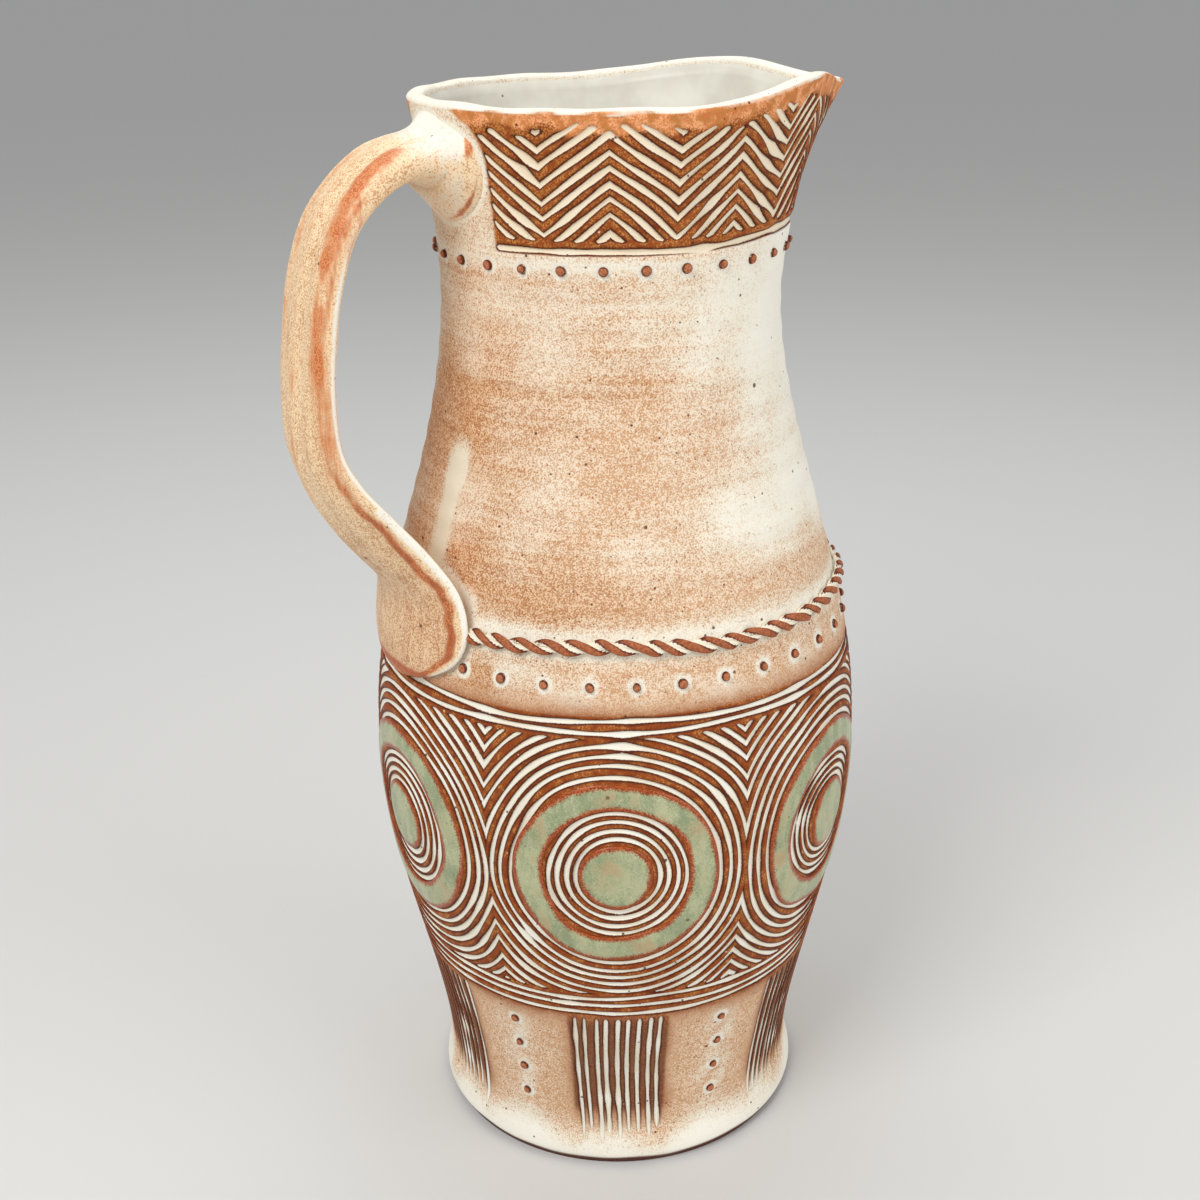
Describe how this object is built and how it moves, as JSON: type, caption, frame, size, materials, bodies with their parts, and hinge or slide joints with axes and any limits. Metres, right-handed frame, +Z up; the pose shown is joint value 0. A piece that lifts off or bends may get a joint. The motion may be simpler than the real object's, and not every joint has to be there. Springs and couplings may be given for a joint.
{
  "type": "jug",
  "caption": "Hand-thrown stoneware pouring jug with a pulled spout, strap handle, applied twisted rope, clay nibs and green glaze roundels",
  "frame": {"origin": "centre of the base, on the axis of the body, in the plane that the foot stands on", "axes": "+Z up along the body's axis, -X towards the handle, +X towards the spout, +Y to the left of the spout"},
  "size_m": [0.1535, 0.1318, 0.2874],
  "materials": {
    "stoneware": "speckled matt glaze over carved, rust-firing stoneware",
    "handle_clay": "speckled matt glaze with rust streaks along the strap",
    "white_glaze": "satin white liner glaze with fine iron specks",
    "iron_clay": "bare iron-rich clay, matt, with traces of white glaze",
    "green_glaze": "satin celadon green glaze that breaks to rust at its edges"
  },
  "bodies": {
    "root": {"body": "stoneware", "liner_glaze": "white_glaze", "handle": "handle_clay", "rope_strand_a": "iron_clay", "rope_strand_b": "iron_clay", "neck_nibs": "iron_clay", "belt_nibs": "iron_clay", "foot_nibs": "iron_clay", "green_rings": "green_glaze", "green_centres": "green_glaze"}
  },
  "joints": []
}
